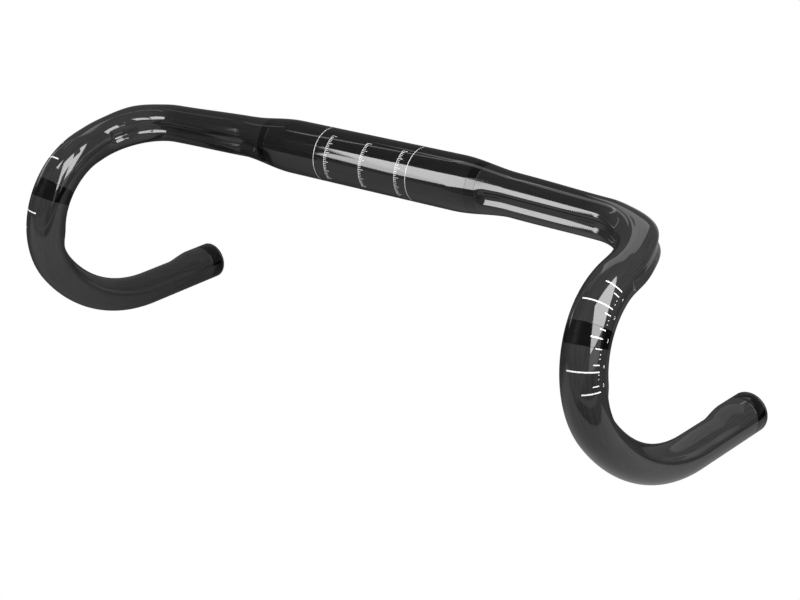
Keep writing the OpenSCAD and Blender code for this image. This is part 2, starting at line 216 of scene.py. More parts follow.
def draw_wall(rings, side):
    """Closed wall of rings. Each ring is extruded from the one before, and the last one meets the first.
    A ring is its distance along the bar, the turn of its angles and its radius at each angle."""
    bm = bmesh.new()
    along = bm.verts.layers.float.new("along")
    around = bm.verts.layers.float.new("around")
    verts = bmesh.ops.create_circle(bm, segments=RING_SIDES, radius=1.0)["verts"]
    for vert in verts:
        vert[around] = atan2(vert.co.y, vert.co.x)
    edges = list(bm.edges)
    first_edges = list(edges)
    for index, (s, lean, skin) in enumerate(rings):
        if index:
            grown = bmesh.ops.extrude_edge_only(bm, edges=edges)["geom"]
            verts = [item for item in grown if isinstance(item, bmesh.types.BMVert)]
            new = set(verts)
            edges = [edge for edge in edges_of(verts) if edge.verts[0] in new and edge.verts[1] in new]
        place = bar_frame(s)
        for vert in verts:
            angle = vert[around]
            radius = skin(s, angle)
            spot = place @ Vector((-radius * cos(angle - lean), 0, radius * sin(angle - lean)))
            vert.co = (spot.x * side, spot.y, spot.z)
            vert[along] = s
    bmesh.ops.bridge_loops(bm, edges=edges + first_edges)
    skin_map = bm.loops.layers.uv.new("skin")
    for face in bm.faces:
        angles = [loop.vert[around] for loop in face.loops]
        crosses_seam = max(angles) - min(angles) > pi
        for loop in face.loops:
            angle = loop.vert[around]
            if crosses_seam and angle < 0:
                angle += 2 * pi
            loop[skin_map].uv = (loop.vert[along] / MM, angle * TUBE_R / MM)
    bmesh.ops.recalc_face_normals(bm, faces=bm.faces)
    return bm


def turned_piece(profile, side, rounding):
    """Closed outline of radius and height, turned round the height axis, with rounded corners."""
    bm = bmesh.new()
    corners = [bm.verts.new((radius * MM, 0, height * MM)) for radius, height in profile]
    outline = [bm.edges.new((corners[i], corners[(i + 1) % len(corners)])) for i in range(len(corners))]
    bmesh.ops.spin(bm, geom=corners + outline, cent=(0, 0, 0), axis=(0, 0, 1), angle=2 * pi,
                   steps=RING_SIDES, use_merge=True)
    bmesh.ops.remove_doubles(bm, verts=bm.verts, dist=MERGE_DISTANCE)
    bmesh.ops.recalc_face_normals(bm, faces=bm.faces)
    sharp = [edge for edge in bm.edges if edge.is_manifold and edge.calc_face_angle() > ROUNDED_ANGLE]
    bmesh.ops.bevel(bm, geom=sharp, offset=rounding * MM, offset_type="OFFSET", segments=2,
                    profile=0.5, affect="EDGES", material=-1, clamp_overlap=True)
    map_turned(bm)
    set_on_end(bm, side)
    return bm


def map_turned(bm):
    """Skin map of a turned piece: height along, angle around."""
    skin_map = bm.loops.layers.uv.new("skin")
    for face in bm.faces:
        angles = [atan2(loop.vert.co.y, loop.vert.co.x) for loop in face.loops]
        crosses_seam = max(angles) - min(angles) > pi
        for loop, angle in zip(face.loops, angles):
            if crosses_seam and angle < 0:
                angle += 2 * pi
            loop[skin_map].uv = (loop.vert.co.z / MM, angle * TUBE_R / MM)


def set_on_end(bm, side):
    """Moves a turned piece to the tube end of its side."""
    bmesh.ops.transform(bm, matrix=END_FRAME, verts=bm.verts)
    if side < 0:
        bmesh.ops.scale(bm, vec=(-1, 1, 1), verts=bm.verts)
        bmesh.ops.reverse_faces(bm, faces=bm.faces)


def finish_piece(bm, name, material, body, slot, *nodes):
    """Mesh object of the piece, with its soft shading, its finish and the body that it rides on."""
    for edge in bm.edges:
        edge.smooth = not edge.is_manifold or edge.calc_face_angle() < SHARP_ANGLE
    for face in bm.faces:
        face.smooth = True
    mesh = bpy.data.meshes.new(name)
    bm.to_mesh(mesh)
    bm.free()
    piece = bpy.data.objects.new(name, mesh)
    scene.collection.objects.link(piece)
    mesh.materials.append(material)
    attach(piece, body)
    if nodes:
        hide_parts(*nodes)
    return piece


# Finishes

def new_group(name, inputs, outputs):
    group = bpy.data.node_groups.new(name, "ShaderNodeTree")
    for label, value in inputs:
        socket = group.interface.new_socket(label, in_out="INPUT", socket_type="NodeSocketFloat")
        socket.default_value = value
    for label in outputs:
        group.interface.new_socket(label, in_out="OUTPUT", socket_type="NodeSocketFloat")
    start = group.nodes.new("NodeGroupInput")
    end = group.nodes.new("NodeGroupOutput")
    return group, start, end


def add_math(tree, operation, first, second):
    node = tree.nodes.new("ShaderNodeMath")
    node.operation = operation
    for socket, value in zip(node.inputs, (first, second)):
        if isinstance(value, bpy.types.NodeSocket):
            tree.links.new(value, socket)
        else:
            socket.default_value = value
    return node.outputs["Value"]


def laid_fibre_group():
    """Long strands that follow the tube, from the skin map in millimetres."""
    group, start, end = new_group("laid_fibre", [("Strand Length", 14.0), ("Strand Width", 0.5)], ["Fibre"])
    skin = group.nodes.new("ShaderNodeUVMap")
    skin.uv_map = "skin"
    split = group.nodes.new("ShaderNodeSeparateXYZ")
    join = group.nodes.new("ShaderNodeCombineXYZ")
    noise = group.nodes.new("ShaderNodeTexNoise")
    noise.inputs["Scale"].default_value = 1.0
    noise.inputs["Detail"].default_value = 3.0
    noise.inputs["Roughness"].default_value = 0.6
    group.links.new(skin.outputs["UV"], split.inputs["Vector"])
    along = add_math(group, "DIVIDE", split.outputs["X"], start.outputs["Strand Length"])
    across = add_math(group, "DIVIDE", split.outputs["Y"], start.outputs["Strand Width"])
    group.links.new(along, join.inputs["X"])
    group.links.new(across, join.inputs["Y"])
    group.links.new(join.outputs["Vector"], noise.inputs["Vector"])
    group.links.new(noise.outputs["Fac"], end.inputs["Fibre"])
    return group


def handling_group():
    """Cloudy wear of a handled surface, and fine dust specks, on object coordinates."""
    inputs = [("Patch Size", 18.0), ("Speck Size", 0.8)]
    group, start, end = new_group("handling", inputs, ["Patches", "Specks"])
    place = group.nodes.new("ShaderNodeTexCoord")
    for label, output, detail in (("Patch Size", "Patches", 4.0), ("Speck Size", "Specks", 1.0)):
        noise = group.nodes.new("ShaderNodeTexNoise")
        noise.inputs["Detail"].default_value = detail
        group.links.new(place.outputs["Object"], noise.inputs["Vector"])
        scale = add_math(group, "DIVIDE", 1 / MM, start.outputs[label])
        group.links.new(scale, noise.inputs["Scale"])
        group.links.new(noise.outputs["Fac"], end.inputs[output])
    return group


LAID_FIBRE = laid_fibre_group()
HANDLING = handling_group()


def new_finish(name):
    material = bpy.data.materials.new(name)
    material.use_nodes = True
    return material, material.node_tree, material.node_tree.nodes["Principled BSDF"]


def place_group(tree, group, **values):
    node = tree.nodes.new("ShaderNodeGroup")
    node.node_tree = group
    for label, value in values.items():
        node.inputs[label.replace("_", " ")].default_value = value
    return node


def map_range(tree, value, low, high, to_low, to_high):
    node = tree.nodes.new("ShaderNodeMapRange")
    node.inputs["From Min"].default_value = low
    node.inputs["From Max"].default_value = high
    node.inputs["To Min"].default_value = to_low
    node.inputs["To Max"].default_value = to_high
    tree.links.new(value, node.inputs["Value"])
    return node.outputs["Result"]


# Sockets of a colour mix
MIX_FACTOR = 0
MIX_FIRST = 6
MIX_SECOND = 7
MIX_RESULT = 2


def mix_colours(tree, value, first, second):
    node = tree.nodes.new("ShaderNodeMix")
    node.data_type = "RGBA"
    node.inputs[MIX_FIRST].default_value = (*first, 1)
    node.inputs[MIX_SECOND].default_value = (*second, 1)
    tree.links.new(value, node.inputs[MIX_FACTOR])
    return node.outputs[MIX_RESULT]


def darken(tree, colour, value, shade):
    """Colour multiplied by a grey shade, as far as the value says."""
    node = tree.nodes.new("ShaderNodeMix")
    node.data_type = "RGBA"
    node.blend_type = "MULTIPLY"
    node.inputs[MIX_SECOND].default_value = (shade, shade, shade, 1)
    tree.links.new(value, node.inputs[MIX_FACTOR])
    tree.links.new(colour, node.inputs[MIX_FIRST])
    return node.outputs[MIX_RESULT]


def add_bump(tree, shader, height, distance):
    bump = tree.nodes.new("ShaderNodeBump")
    bump.inputs["Distance"].default_value = distance
    bump.inputs["Strength"].default_value = 1.0
    tree.links.new(height, bump.inputs["Height"])
    tree.links.new(bump.outputs["Normal"], shader.inputs["Normal"])


# Noise between these two values runs over the whole span of a colour or a roughness
CLOUDS = (0.3, 0.7)
STRANDS = (0.35, 0.65)

# The darker threaded part of the tops ends between these distances along the bar, in millimetres
THREADS_FADE = (150.0, 175.0)
THREADED_SHADE = 0.45
LACQUER_ROUGHNESS = (0.04, 0.07)
LACQUER_RIPPLE = 0.004 * MM


def carbon_finish(name, dark, light, thread_roughness):
    """Lacquered carbon: strands under the lacquer and cloudy gloss. With a thread roughness, the part near
    the middle of the bar is darker and has fine cross threads."""
    material, tree, shader = new_finish(name)
    fibre = place_group(tree, LAID_FIBRE, Strand_Length=16.0, Strand_Width=0.45)
    handling = place_group(tree, HANDLING, Patch_Size=26.0, Speck_Size=0.5)
    strand = map_range(tree, fibre.outputs["Fibre"], *STRANDS, 0.0, 1.0)
    colour = mix_colours(tree, strand, dark, light)
    rough = map_range(tree, handling.outputs["Patches"], *CLOUDS, *LACQUER_ROUGHNESS)
    shader.inputs["IOR"].default_value = 1.52
    height = handling.outputs["Specks"]
    if thread_roughness:
        threads = tree.nodes.new("ShaderNodeTexWave")
        threads.inputs["Scale"].default_value = 0.26
        threads.inputs["Distortion"].default_value = 0.6
        threads.inputs["Detail"].default_value = 1.0
        skin = tree.nodes.new("ShaderNodeUVMap")
        skin.uv_map = "skin"
        tree.links.new(skin.outputs["UV"], threads.inputs["Vector"])
        split = tree.nodes.new("ShaderNodeSeparateXYZ")
        tree.links.new(skin.outputs["UV"], split.inputs["Vector"])
        fade = map_range(tree, split.outputs["X"], *THREADS_FADE, 1.0, 0.0)
        height = add_math(tree, "MULTIPLY", threads.outputs["Fac"], fade)
        rough = add_math(tree, "ADD", rough, add_math(tree, "MULTIPLY", height, thread_roughness))
        colour = darken(tree, colour, fade, THREADED_SHADE)
    tree.links.new(colour, shader.inputs["Base Color"])
    tree.links.new(rough, shader.inputs["Roughness"])
    add_bump(tree, shader, height, LACQUER_RIPPLE)
    return material


def plain_finish(name, dark, light, roughness, metallic, patch, speck, grain):
    """Moulded or metal finish: cloudy colour and gloss, and a fine grain. Patch, speck and grain are in
    millimetres."""
    material, tree, shader = new_finish(name)
    handling = place_group(tree, HANDLING, Patch_Size=patch, Speck_Size=speck)
    cloud = map_range(tree, handling.outputs["Patches"], *CLOUDS, 0.0, 1.0)
    rough = map_range(tree, handling.outputs["Patches"], *CLOUDS, *roughness)
    tree.links.new(mix_colours(tree, cloud, dark, light), shader.inputs["Base Color"])
    tree.links.new(rough, shader.inputs["Roughness"])
    shader.inputs["Metallic"].default_value = metallic
    shader.inputs["IOR"].default_value = 1.5
    add_bump(tree, shader, handling.outputs["Specks"], grain * MM)
    return material


LAMINATE_DARK = (0.011, 0.0112, 0.0113)
LAMINATE_LIGHT = (0.02, 0.02, 0.0198)
CLAMP_CARBON = carbon_finish("clamp_carbon", (0.002, 0.002, 0.0022), (0.006, 0.006, 0.0065), 0)
TOP_CARBON = carbon_finish("top_carbon", LAMINATE_DARK, LAMINATE_LIGHT, 0.05)
DROP_CARBON = carbon_finish("drop_carbon", LAMINATE_DARK, LAMINATE_LIGHT, 0)
BAND_BLACK = plain_finish("band_black", (0.0006, 0.0006, 0.0007), (0.0018, 0.0018, 0.002), (0.05, 0.09),
                          metallic=0, patch=14, speck=0.4, grain=0.003)
BARE_CARBON = plain_finish("bare_carbon", (0.02, 0.02, 0.021), (0.05, 0.05, 0.053), (0.4, 0.6),
                           metallic=0, patch=6, speck=0.5, grain=0.02)
PLUG_PLASTIC = plain_finish("plug_plastic", (0.006, 0.006, 0.0065), (0.014, 0.014, 0.015), (0.38, 0.5),
                            metallic=0, patch=8, speck=0.3, grain=0.02)
WASHER_ZINC = plain_finish("washer_zinc", (0.42, 0.43, 0.46), (0.58, 0.59, 0.61), (0.25, 0.4),
                           metallic=1, patch=4, speck=0.3, grain=0.005)
SLEEVE_RUBBER = plain_finish("sleeve_rubber", (0.008, 0.008, 0.009), (0.02, 0.02, 0.021), (0.6, 0.75),
                             metallic=0, patch=6, speck=0.25, grain=0.03)
WEDGE_ALLOY = plain_finish("wedge_alloy", (0.55, 0.56, 0.58), (0.7, 0.71, 0.73), (0.2, 0.35),
                           metallic=1, patch=5, speck=0.2, grain=0.004)
SCREW_STEEL = plain_finish("screw_steel", (0.03, 0.03, 0.033), (0.07, 0.07, 0.075), (0.3, 0.45),
                           metallic=1, patch=3, speck=0.2, grain=0.004)
PRINT_WHITE = plain_finish("print_white", (0.5, 0.5, 0.5), (0.6, 0.6, 0.6), (0.3, 0.4),
                           metallic=0, patch=3, speck=0.2, grain=0.001)


# Bar sections

NECK_SEAT_R = bar_radius(NECK_JOINT + NECK_BAND_HALF) - BAND_THICKNESS
TUBE_SEAT_R = TUBE_R - BAND_THICKNESS


def level(radius):
    return lambda s, angle: radius


def round_skin(s, angle):
    return bar_radius(s)


def clamp_wall():
    edge = NECK_JOINT - NECK_BAND_HALF
    outer = [(s, 0, level(NECK_SEAT_R)) for s in (-NECK_JOINT, -edge)]
    outer += [(s, 0, round_skin) for s in spaced(-edge, edge, RING_STEP)]
    outer += [(s, 0, level(NECK_SEAT_R)) for s in (edge, NECK_JOINT)]
    step = CLAMP_BORE_R - BORE_R
    bore = [(NECK_JOINT, 0, level(BORE_R)), (BORE_STEP, 0, level(BORE_R))]
    wide_half = BORE_STEP - step
    wide = reversed(spaced(-wide_half, wide_half, BORE_RING_STEP))
    bore += [(s, 0, level(CLAMP_BORE_R)) for s in wide]
    bore += [(-BORE_STEP, 0, level(BORE_R)), (-NECK_JOINT, 0, level(BORE_R))]
    return outer + bore


def ring_lean(s):
    """Turn that keeps the points of the rings in line past the ramp, where the hook's frame is turned."""
    return 0 if s < RAMP_END else radians(HOOK_LEAN)


def top_wall():
    edge_in = NECK_JOINT + NECK_BAND_HALF
    edge_out = HOOK_JOINT - HOOK_BAND_HALF
    start = NECK_JOINT + BOND_GAP
    end = HOOK_JOINT - BOND_GAP
    outer = [(s, 0, level(NECK_SEAT_R)) for s in (start, edge_in)]
    outer += [(s, ring_lean(s), top_skin) for s in spaced(edge_in, edge_out, RING_STEP)]
    outer += [(s, ring_lean(s), level(TUBE_SEAT_R)) for s in (edge_out, end)]
    bore = [(s, ring_lean(s), level(BORE_R)) for s in reversed(spaced(start, end, BORE_RING_STEP))]
    return outer + bore


def drop_wall():
    edge = HOOK_JOINT + HOOK_BAND_HALF
    start = HOOK_JOINT + BOND_GAP
    outer = [(s, 0, level(TUBE_SEAT_R)) for s in (start, edge)]
    outer += [(s, 0, drop_skin) for s in spaced(edge, WALL_END, RING_STEP)]
    bore = [(s, 0, level(BORE_R)) for s in reversed(spaced(start, WALL_END, BORE_RING_STEP))]
    return outer + bore


def band_edge_skin(s, angle):
    return bar_radius(s) - BAND_ROUNDING


def band_wall(middle, half, seat_radius):
    """Band wrapped over a joint, its two edges rounded off."""
    edge = BAND_ROUNDING
    start = middle - half + BOND_GAP
    end = middle + half - BOND_GAP
    rings = [start + edge] + spaced(start + 2 * edge, end - 2 * edge, BAND_RING_STEP) + [end - edge]
    outer = [(start, 0, band_edge_skin)]
    outer += [(s, 0, round_skin) for s in rings]
    outer += [(end, 0, band_edge_skin)]
    inner_skin = level(seat_radius + BOND_GAP)
    return outer + [(s, 0, inner_skin) for s in reversed(spaced(start, end, BAND_SEAT_STEP))]


finish_piece(draw_wall(clamp_wall(), 1), "clamp_shell", CLAMP_CARBON, "bar", "gloss_carbon",
             "clamp_section")
for name, side in SIDES:
    finish_piece(draw_wall(top_wall(), side), name + "_top_shell", TOP_CARBON, "bar", "gloss_carbon",
                 name + "_top_section")
    finish_piece(draw_wall(drop_wall(), side), name + "_drop_shell", DROP_CARBON, "bar", "gloss_carbon",
                 name + "_drop_section")
    finish_piece(draw_wall(band_wall(NECK_JOINT, NECK_BAND_HALF, NECK_SEAT_R), side), name + "_neck_wrap",
                 BAND_BLACK, "bar", "band", name + "_neck_band")
    finish_piece(draw_wall(band_wall(HOOK_JOINT, HOOK_BAND_HALF, TUBE_SEAT_R), side), name + "_hook_wrap",
                 BAND_BLACK, "bar", "band", name + "_hook_band")
    for joint in ("neck", "hook"):
        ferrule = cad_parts[name + "_" + joint + "_ferrule"]
        ferrule.data.materials.clear()
        ferrule.data.materials.append(BARE_CARBON)


# End sockets and expanding plugs: radii and heights in millimetres, height 0 on the tube end

END_R = TUBE_R / MM
COLLAR_FOOT = -8.9
SPIGOT_R = 8.5
SPIGOT_FOOT = -36
SOCKET_BORE_R = 7.2
PLUG_R = 7.0
SCREW_HOLE_R = 2.65
FLANGE_FOOT = 0.1
FLANGE_TOP = 2.1
RIM_R = 0.8
RIM_CUT = 0.3 * RIM_R
GROOVE_DEPTH = 0.4
GROOVE_SLOPE = 0.3
FACE_GROOVE_R = 8.0
FACE_GROOVE_HALF = 0.6
HEAD_HOLE_R = 4.4
HEAD_SEAT = -1.8
CAP_FOOT = -8
WASHER_R = 6.0
WASHER_FOOT = -9
SLEEVE_TOP = -9.05
SLEEVE_FOOT = -23
SLEEVE_BORE_R = 3.1
SLEEVE_GROOVES = (-12.5, -16.5, -20.5)
SLEEVE_GROOVE_HALF = 0.7
CONE_TOP = -18.85
CONE_TOP_R = 4.25
CONE_FOOT_R = 5.35
WEDGE_TOP = -19
WEDGE_TOP_R = 4.1
WEDGE_R = 6.4
WEDGE_SHOULDER = -27.4
WEDGE_FOOT = -28
HEAD_R = 4.25
HEAD_TOP = 1.7
HEAD_CHAMFER = 0.4
HEAD_FACE_R = 2.6
KEY_CORNER_R = 1.73
KEY_DEPTH = 2.1
SCREW_FOOT = -32
SCREW_FOOT_R = 1.8
THREAD_TOP = -2.2
THREAD_BOTTOM = -31
THREAD_CREST = 2.48
THREAD_ROOT = 2.1
THREAD_PITCH = 0.8
THREAD_FLANK = 0.4

SOCKET = [
    (SOCKET_BORE_R, 0), (END_R, 0), (END_R, COLLAR_FOOT), (SPIGOT_R, COLLAR_FOOT),
    (SPIGOT_R, SPIGOT_FOOT), (SOCKET_BORE_R, SPIGOT_FOOT),
]
WASHER = [
    (SCREW_HOLE_R, WASHER_FOOT), (WASHER_R, WASHER_FOOT), (WASHER_R, CAP_FOOT), (SCREW_HOLE_R, CAP_FOOT),
]
WEDGE = [
    (SCREW_HOLE_R, WEDGE_TOP), (WEDGE_TOP_R, WEDGE_TOP), (WEDGE_R, WEDGE_SHOULDER),
    (WEDGE_R, WEDGE_FOOT), (SCREW_HOLE_R, WEDGE_FOOT),
]


def groove(middle, half, surface):
    """Section of a groove with sloped sides: places across it, each with its level."""
    floor = surface - GROOVE_DEPTH
    floor_half = half - GROOVE_SLOPE
    return [(middle + half, surface), (middle + floor_half, floor),
            (middle - floor_half, floor), (middle - half, surface)]


def cap_outline():
    """Spigot and round-edged flange, with a ring groove in the face and a hole for the screw head."""
    points = [(SCREW_HOLE_R, CAP_FOOT), (PLUG_R, CAP_FOOT), (PLUG_R, FLANGE_FOOT), (END_R, FLANGE_FOOT)]
    points += [(END_R, FLANGE_TOP - RIM_R), (END_R - RIM_CUT, FLANGE_TOP - RIM_CUT)]
    points += [(END_R - RIM_R, FLANGE_TOP)]
    points += groove(FACE_GROOVE_R, FACE_GROOVE_HALF, FLANGE_TOP)
    return points + [(HEAD_HOLE_R, FLANGE_TOP), (HEAD_HOLE_R, HEAD_SEAT), (SCREW_HOLE_R, HEAD_SEAT)]


def sleeve_outline():
    """Rubber sleeve with grooves round its outside, and a cone at its foot for the wedge."""
    points = [(SLEEVE_BORE_R, SLEEVE_TOP), (PLUG_R, SLEEVE_TOP)]
    for middle in SLEEVE_GROOVES:
        points += [(radius, height) for height, radius in groove(middle, SLEEVE_GROOVE_HALF, PLUG_R)]
    points += [(PLUG_R, SLEEVE_FOOT), (CONE_FOOT_R, SLEEVE_FOOT)]
    return points + [(CONE_TOP_R, CONE_TOP), (SLEEVE_BORE_R, CONE_TOP)]


def thread_outline():
    """Flanks of the fine thread, from the top down."""
    points = []
    height = THREAD_TOP
    while height - THREAD_PITCH > THREAD_BOTTOM:
        points.append((THREAD_ROOT, height))
        points.append((THREAD_CREST, height - THREAD_FLANK * THREAD_PITCH))
        points.append((THREAD_CREST, height - (1 - THREAD_FLANK) * THREAD_PITCH))
        height -= THREAD_PITCH
    return points + [(THREAD_ROOT, height)]


def screw_piece(side):
    """Turned head and threaded shank, with a hexagon socket sunk in the head."""
    outline = [(0.0, SCREW_FOOT), (SCREW_FOOT_R, SCREW_FOOT)] + list(reversed(thread_outline()))
    outline += [(THREAD_CREST, HEAD_SEAT), (HEAD_R, HEAD_SEAT), (HEAD_R, HEAD_TOP - HEAD_CHAMFER)]
    outline += [(HEAD_R - HEAD_CHAMFER, HEAD_TOP), (HEAD_FACE_R, HEAD_TOP)]
    bm = bmesh.new()
    corners = [bm.verts.new((radius * MM, 0, height * MM)) for radius, height in outline]
    edges = [bm.edges.new(pair) for pair in zip(corners, corners[1:])]
    bmesh.ops.spin(bm, geom=corners + edges, cent=(0, 0, 0), axis=(0, 0, 1), angle=2 * pi,
                   steps=SCREW_SIDES, use_merge=True)
    bmesh.ops.remove_doubles(bm, verts=bm.verts, dist=MERGE_DISTANCE)
    rim = [edge for edge in bm.edges if edge.is_boundary]
    key = bmesh.ops.create_circle(bm, segments=6, radius=KEY_CORNER_R * MM,
                                  matrix=shift(0, 0, HEAD_TOP * MM))["verts"]
    key_edges = edges_of(key)
    bmesh.ops.bridge_loops(bm, edges=rim + key_edges)
    grown = bmesh.ops.extrude_edge_only(bm, edges=key_edges)["geom"]
    floor_verts = [item for item in grown if isinstance(item, bmesh.types.BMVert)]
    bmesh.ops.translate(bm, vec=(0, 0, -KEY_DEPTH * MM), verts=floor_verts)
    bmesh.ops.contextual_create(bm, geom=floor_verts)
    bmesh.ops.recalc_face_normals(bm, faces=bm.faces)
    map_turned(bm)
    set_on_end(bm, side)
    return bm


for name, side in SIDES:
    finish_piece(turned_piece(SOCKET, side, rounding=0.2), name + "_end_collar", BAND_BLACK,
                 "bar", "band", name + "_end_socket")
    finish_piece(turned_piece(cap_outline(), side, rounding=0.15), name + "_plug_lid", PLUG_PLASTIC,
                 name + "_plug", "plug_plastic", name + "_plug_cap")
    finish_piece(turned_piece(WASHER, side, rounding=0.15), name + "_plug_ring", WASHER_ZINC,
                 name + "_plug", "washer_steel", name + "_plug_washer")
    finish_piece(turned_piece(sleeve_outline(), side, rounding=0.12), name + "_plug_rubber", SLEEVE_RUBBER,
                 name + "_plug", "sleeve_rubber", name + "_plug_sleeve")
    finish_piece(turned_piece(WEDGE, side, rounding=0.15), name + "_plug_cone", WEDGE_ALLOY,
                 name + "_wedge", "wedge_alloy", name + "_plug_wedge")
    finish_piece(screw_piece(side), name + "_plug_bolt", SCREW_STEEL,
                 name + "_screw", "screw_steel", name + "_plug_screw")


# Printed marks: thin films on the skin

FILM_LIFT = 0.02 * MM
FILM_THICKNESS = 0.02 * MM
FILM_STEP = 4

# Lever scale of a hook: distances from the joint in millimetres, and skin angles in degrees
SETTING_LINES = [(-23.9, 107, 155), (-14, 108, 190), (15.3, 107, 190), (24.7, 103, 152), (0.4, 110, 141)]
SETTING_WIDTH = 0.6
TICKS = [-20.8, -10.7, -3.6, 5.1, 12.2, 21.7]
TICK_ANGLES = (107, 124)
TICK_WIDTH = 0.5
DOT_PAIRS = [-20.8, -10.7, 5.1, 14.3]
DOT_STEPS = (2.3, 4.3)
DOT_ANGLES = (107, 109.5)
DOT_WIDTH = 0.45
DIGITS = [(-21.2, "1"), (-11, "2"), (0.6, "3"), (13, "4"), (22, "5")]
DIGIT_ANGLE = 93
DIGIT_HEIGHT = 2.4
LEFT_SCALE_SHIFT = -2.2

# Turning scales of the clamp section, in millimetres and degrees
SCALE_PLACES = (-26, 0, 26)
SCALE_ANGLES = (-78, 26)
SCALE_LINE_WIDTH = 0.2
SCALE_TICK_STEP = 4
SCALE_TICK_HALF = 0.45
SHORT_TICK = 1.8
LONG_TICK = 3.4
LIMIT_PLACES = (-34, 34)
LIMIT_ANGLES = (-112, 40)
LIMIT_WIDTH = 0.3


def skin_spot(s, angle, side):
    place = bar_frame(s)
    radius = bar_radius(s) + FILM_LIFT
    spot = place @ Vector((-radius * cos(angle), 0, radius * sin(angle)))
    return Vector((spot.x * side, spot.y, spot.z))


def film_bar(bm, s_from, s_to, angle_from, angle_to, side):
    """Printed bar between two distances in millimetres and two angles in degrees."""
    steps = max(1, ceil(abs(angle_to - angle_from) / FILM_STEP))
    grid = bmesh.ops.create_grid(bm, x_segments=1, y_segments=steps, size=0.5)["verts"]
    for vert in grid:
        s = (s_from + (vert.co.x + 0.5) * (s_to - s_from)) * MM
        angle = radians(angle_from + (vert.co.y + 0.5) * (angle_to - angle_from))
        vert.co = skin_spot(s, angle, side)


def film_line(bm, s, angle_from, angle_to, width, side):
    film_bar(bm, s - width / 2, s + width / 2, angle_from, angle_to, side)


def film_digit(bm, digit, s, angle, height, side):
    """Printed digit that reads upright from the side of the bar."""
    curve = bpy.data.curves.new("digit", "FONT")
    curve.body = digit
    curve.size = height * MM
    curve.align_x = "CENTER"
    curve.align_y = "CENTER"
    holder = bpy.data.objects.new("digit", curve)
    scene.collection.objects.link(holder)
    bpy.context.view_layer.update()
    mesh = bpy.data.meshes.new_from_object(holder.evaluated_get(bpy.context.evaluated_depsgraph_get()))
    bpy.data.objects.remove(holder)
    count = len(bm.verts)
    bm.from_mesh(mesh)
    bm.verts.ensure_lookup_table()
    for vert in bm.verts[count:]:
        x, y = vert.co.x * side, vert.co.y
        vert.co = skin_spot(s * MM - y, radians(angle) - x / TUBE_R, side)
    bpy.data.meshes.remove(mesh)


def finish_print(bm, name):
    bmesh.ops.remove_doubles(bm, verts=bm.verts, dist=MERGE_DISTANCE)
    bmesh.ops.solidify(bm, geom=bm.faces, thickness=FILM_THICKNESS)
    bmesh.ops.recalc_face_normals(bm, faces=bm.faces)
    finish_piece(bm, name, PRINT_WHITE, "bar", None)


def hook_scale(side, offset):
    """Lever scale: setting lines, ticks with digits, and dots between them, about the hook joint."""
    bm = bmesh.new()
    middle = HOOK_JOINT / MM + offset
    for place, start, end in SETTING_LINES:
        film_line(bm, middle + place, start, end, SETTING_WIDTH, side)
    for place in TICKS:
        film_line(bm, middle + place, *TICK_ANGLES, TICK_WIDTH, side)
    for place in DOT_PAIRS:
        for dot in DOT_STEPS:
            film_line(bm, middle + place + dot, *DOT_ANGLES, DOT_WIDTH, side)
    for place, digit in DIGITS:
        film_digit(bm, digit, middle + place, DIGIT_ANGLE, DIGIT_HEIGHT, side)
    return bm


def clamp_scale():
    """Turning scales round the clamp section, every fifth tick long, and its two limit lines."""
    bm = bmesh.new()
    first, last = SCALE_ANGLES
    for x in SCALE_PLACES:
        film_line(bm, x, first, last, SCALE_LINE_WIDTH, 1)
        for tick, angle in enumerate(range(first, last + 1, SCALE_TICK_STEP)):
            length = SHORT_TICK if tick % 5 else LONG_TICK
            film_bar(bm, x, x + length, angle - SCALE_TICK_HALF, angle + SCALE_TICK_HALF, 1)
    for x in LIMIT_PLACES:
        film_line(bm, x, *LIMIT_ANGLES, LIMIT_WIDTH, 1)
    return bm


finish_print(hook_scale(1, 0), "right_hook_scale")
finish_print(hook_scale(-1, LEFT_SCALE_SHIFT), "left_hook_scale")
finish_print(clamp_scale(), "clamp_scale")


# Floor, light and camera

CAMERA_AZIMUTH = radians(38.921)
CAMERA_ELEVATION = radians(21.075)
CAMERA_ROLL = radians(-0.679)
CAMERA_DISTANCE = 1.061924
CAMERA_AIM = Vector((0.004854, 0.014825, -0.087138))
CAMERA_LENS = 79.941


def white_to_camera(tree, seen_by_bar):
    """Strength that is full to the camera, and as given to the bar's gloss."""
    path = tree.nodes.new("ShaderNodeLightPath")
    mix = tree.nodes.new("ShaderNodeMix")
    tree.links.new(path.outputs["Is Camera Ray"], mix.inputs["Factor"])
    if isinstance(seen_by_bar, bpy.types.NodeSocket):
        tree.links.new(seen_by_bar, mix.inputs["A"])
    else:
        mix.inputs["A"].default_value = seen_by_bar
    mix.inputs["B"].default_value = 1.0
    return mix.outputs["Result"]


FLOOR_HALF = 8.0
FLOOR_HEIGHT = -0.34
# Glow of the floor by its distance in metres towards the camera: dim at the back, lit under the bar, then
# dark, and a dim strip in front
FLOOR_GLOW = [
    (-1.0, 0.05), (-0.4, 0.07), (-0.25, 0.15), (-0.05, 0.48), (0.1, 0.62), (0.46, 0.62),
    (0.48, 0.03), (0.71, 0.03), (0.73, 0.4), (0.9, 0.4), (0.92, 0.03),
]
FLOOR_REACH = 1.0
# The glow fades out on the right, and the left front has an even glow of its own
RIGHT_FADE = (0.88, 0.92)
RIGHT_GLOW = 0.05
LEFT_FADE = (-0.16, -0.3)
LEFT_GLOW = 0.3
LEFT_FRONT_FADE = (0.1, -0.1)
SKY_GLOW = 0.14


